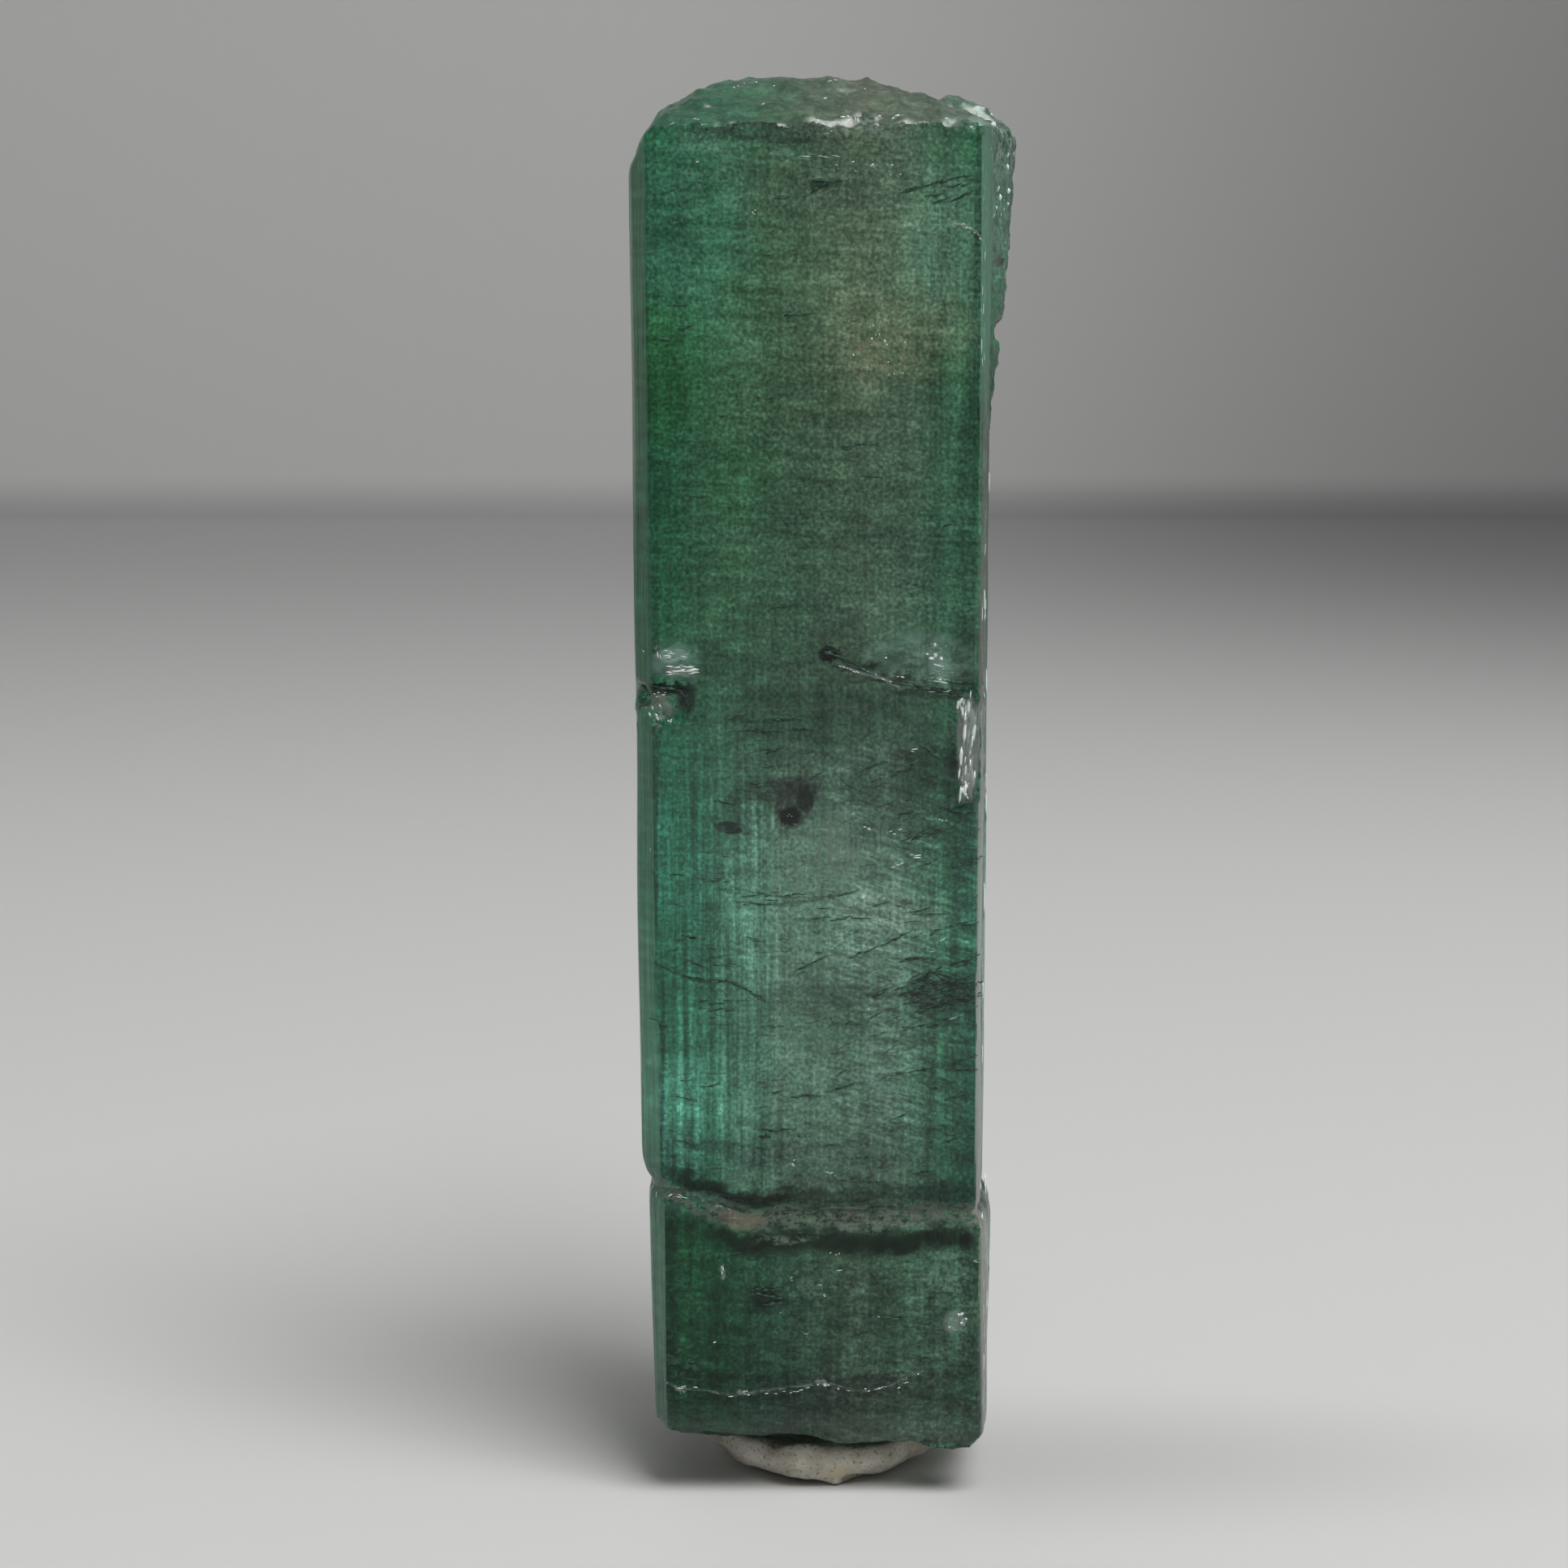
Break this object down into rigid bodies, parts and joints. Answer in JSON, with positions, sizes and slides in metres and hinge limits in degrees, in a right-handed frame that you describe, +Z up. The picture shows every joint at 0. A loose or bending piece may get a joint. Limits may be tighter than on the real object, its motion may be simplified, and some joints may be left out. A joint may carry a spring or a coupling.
{
  "type": "blue-green tourmaline crystal on a putty dab",
  "caption": "Clear blue-green tourmaline prism with a flat front, striated back, rough domed top and healed fracture, standing in a putty dab.",
  "frame": {"origin": "middle of the specimen's footprint box, on the table it stands on", "axes": "+Z up along the prism, -Y out of the broad flat front face, +X to the right seen from the front"},
  "size_m": [0.0112, 0.0082, 0.0415],
  "materials": {
    "tourmaline": "see-through blue-green tourmaline with a smoky middle, glossy on its flat faces, striated, etched frosty on the crown and breaks",
    "putty": "dull pale beige-grey mineral putty with dark specks and pits"
  },
  "bodies": {
    "root": {"tourmaline_crystal": "tourmaline", "putty_dab": "putty"}
  },
  "joints": []
}
